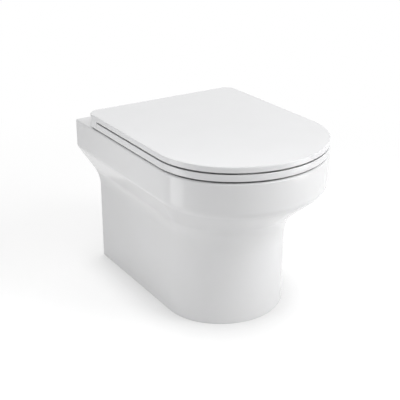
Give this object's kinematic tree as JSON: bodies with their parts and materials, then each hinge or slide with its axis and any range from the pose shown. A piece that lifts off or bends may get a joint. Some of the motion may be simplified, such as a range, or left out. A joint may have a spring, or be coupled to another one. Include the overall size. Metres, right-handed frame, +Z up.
{
  "type": "wall hung toilet",
  "caption": "Wall hung toilet pan in white glazed ceramic with a straight foot, sloped waist and D-shaped rim, carrying a hinged seat ring and a flat soft-close lid.",
  "frame": {"origin": "midway between the two wall stud holes, on the wall face", "axes": "+Z up, +Y into the wall, so the rim's nose points to -Y and +X is to the right seen from the front"},
  "size_m": [0.36, 0.5085, 0.3685],
  "materials": {
    "glaze": "white gloss glaze",
    "seat": "white gloss moulded thermoset",
    "chrome": "polished chrome plate",
    "steel": "plain stainless steel",
    "rubber": "matt black rubber",
    "buffer": "pale grey soft elastomer",
    "nylon": "natural white nylon",
    "damper": "dark grey moulded plastic"
  },
  "bodies": {
    "pan": {"pan_shell": "glaze", "pan_deck": "glaze", "pan_collar": "glaze", "pan_bowl": "glaze", "pan_throat": "glaze", "pan_sump": "glaze", "pan_trapway": "glaze", "pan_outlet": "glaze", "pan_inlet": "glaze", "pan_bulkhead": "glaze", "left_hinge_post": "chrome", "right_hinge_post": "chrome", "post_gaskets": "rubber", "hinge_pins": "steel", "hinge_studs": "steel", "hole_grommets": "rubber", "fixing_washers": "nylon", "wing_nuts": "nylon", "stud_sleeves": "nylon", "inlet_seal": "rubber"},
    "ring": {"seat_ring": "seat", "ring_buffers": "buffer", "ring_damper": "damper", "ring_bush": "nylon"},
    "lid": {"lid": "seat", "lid_buffers": "buffer", "lid_damper": "damper", "lid_bush": "nylon"}
  },
  "joints": [
    {"name": "ring_hinge", "type": "hinge", "parent": "pan", "child": "ring", "pos_m": [0, -0.0645, 0.099], "axis": [-1, 0, 0], "range_deg": [0, 95]},
    {"name": "lid_hinge", "type": "hinge", "parent": "pan", "child": "lid", "pos_m": [0, -0.0645, 0.099], "axis": [-1, 0, 0], "range_deg": [0, 95]}
  ],
  "couplings": [
    {"joint": "lid_hinge", "follows": "ring_hinge", "ratio": 1}
  ]
}
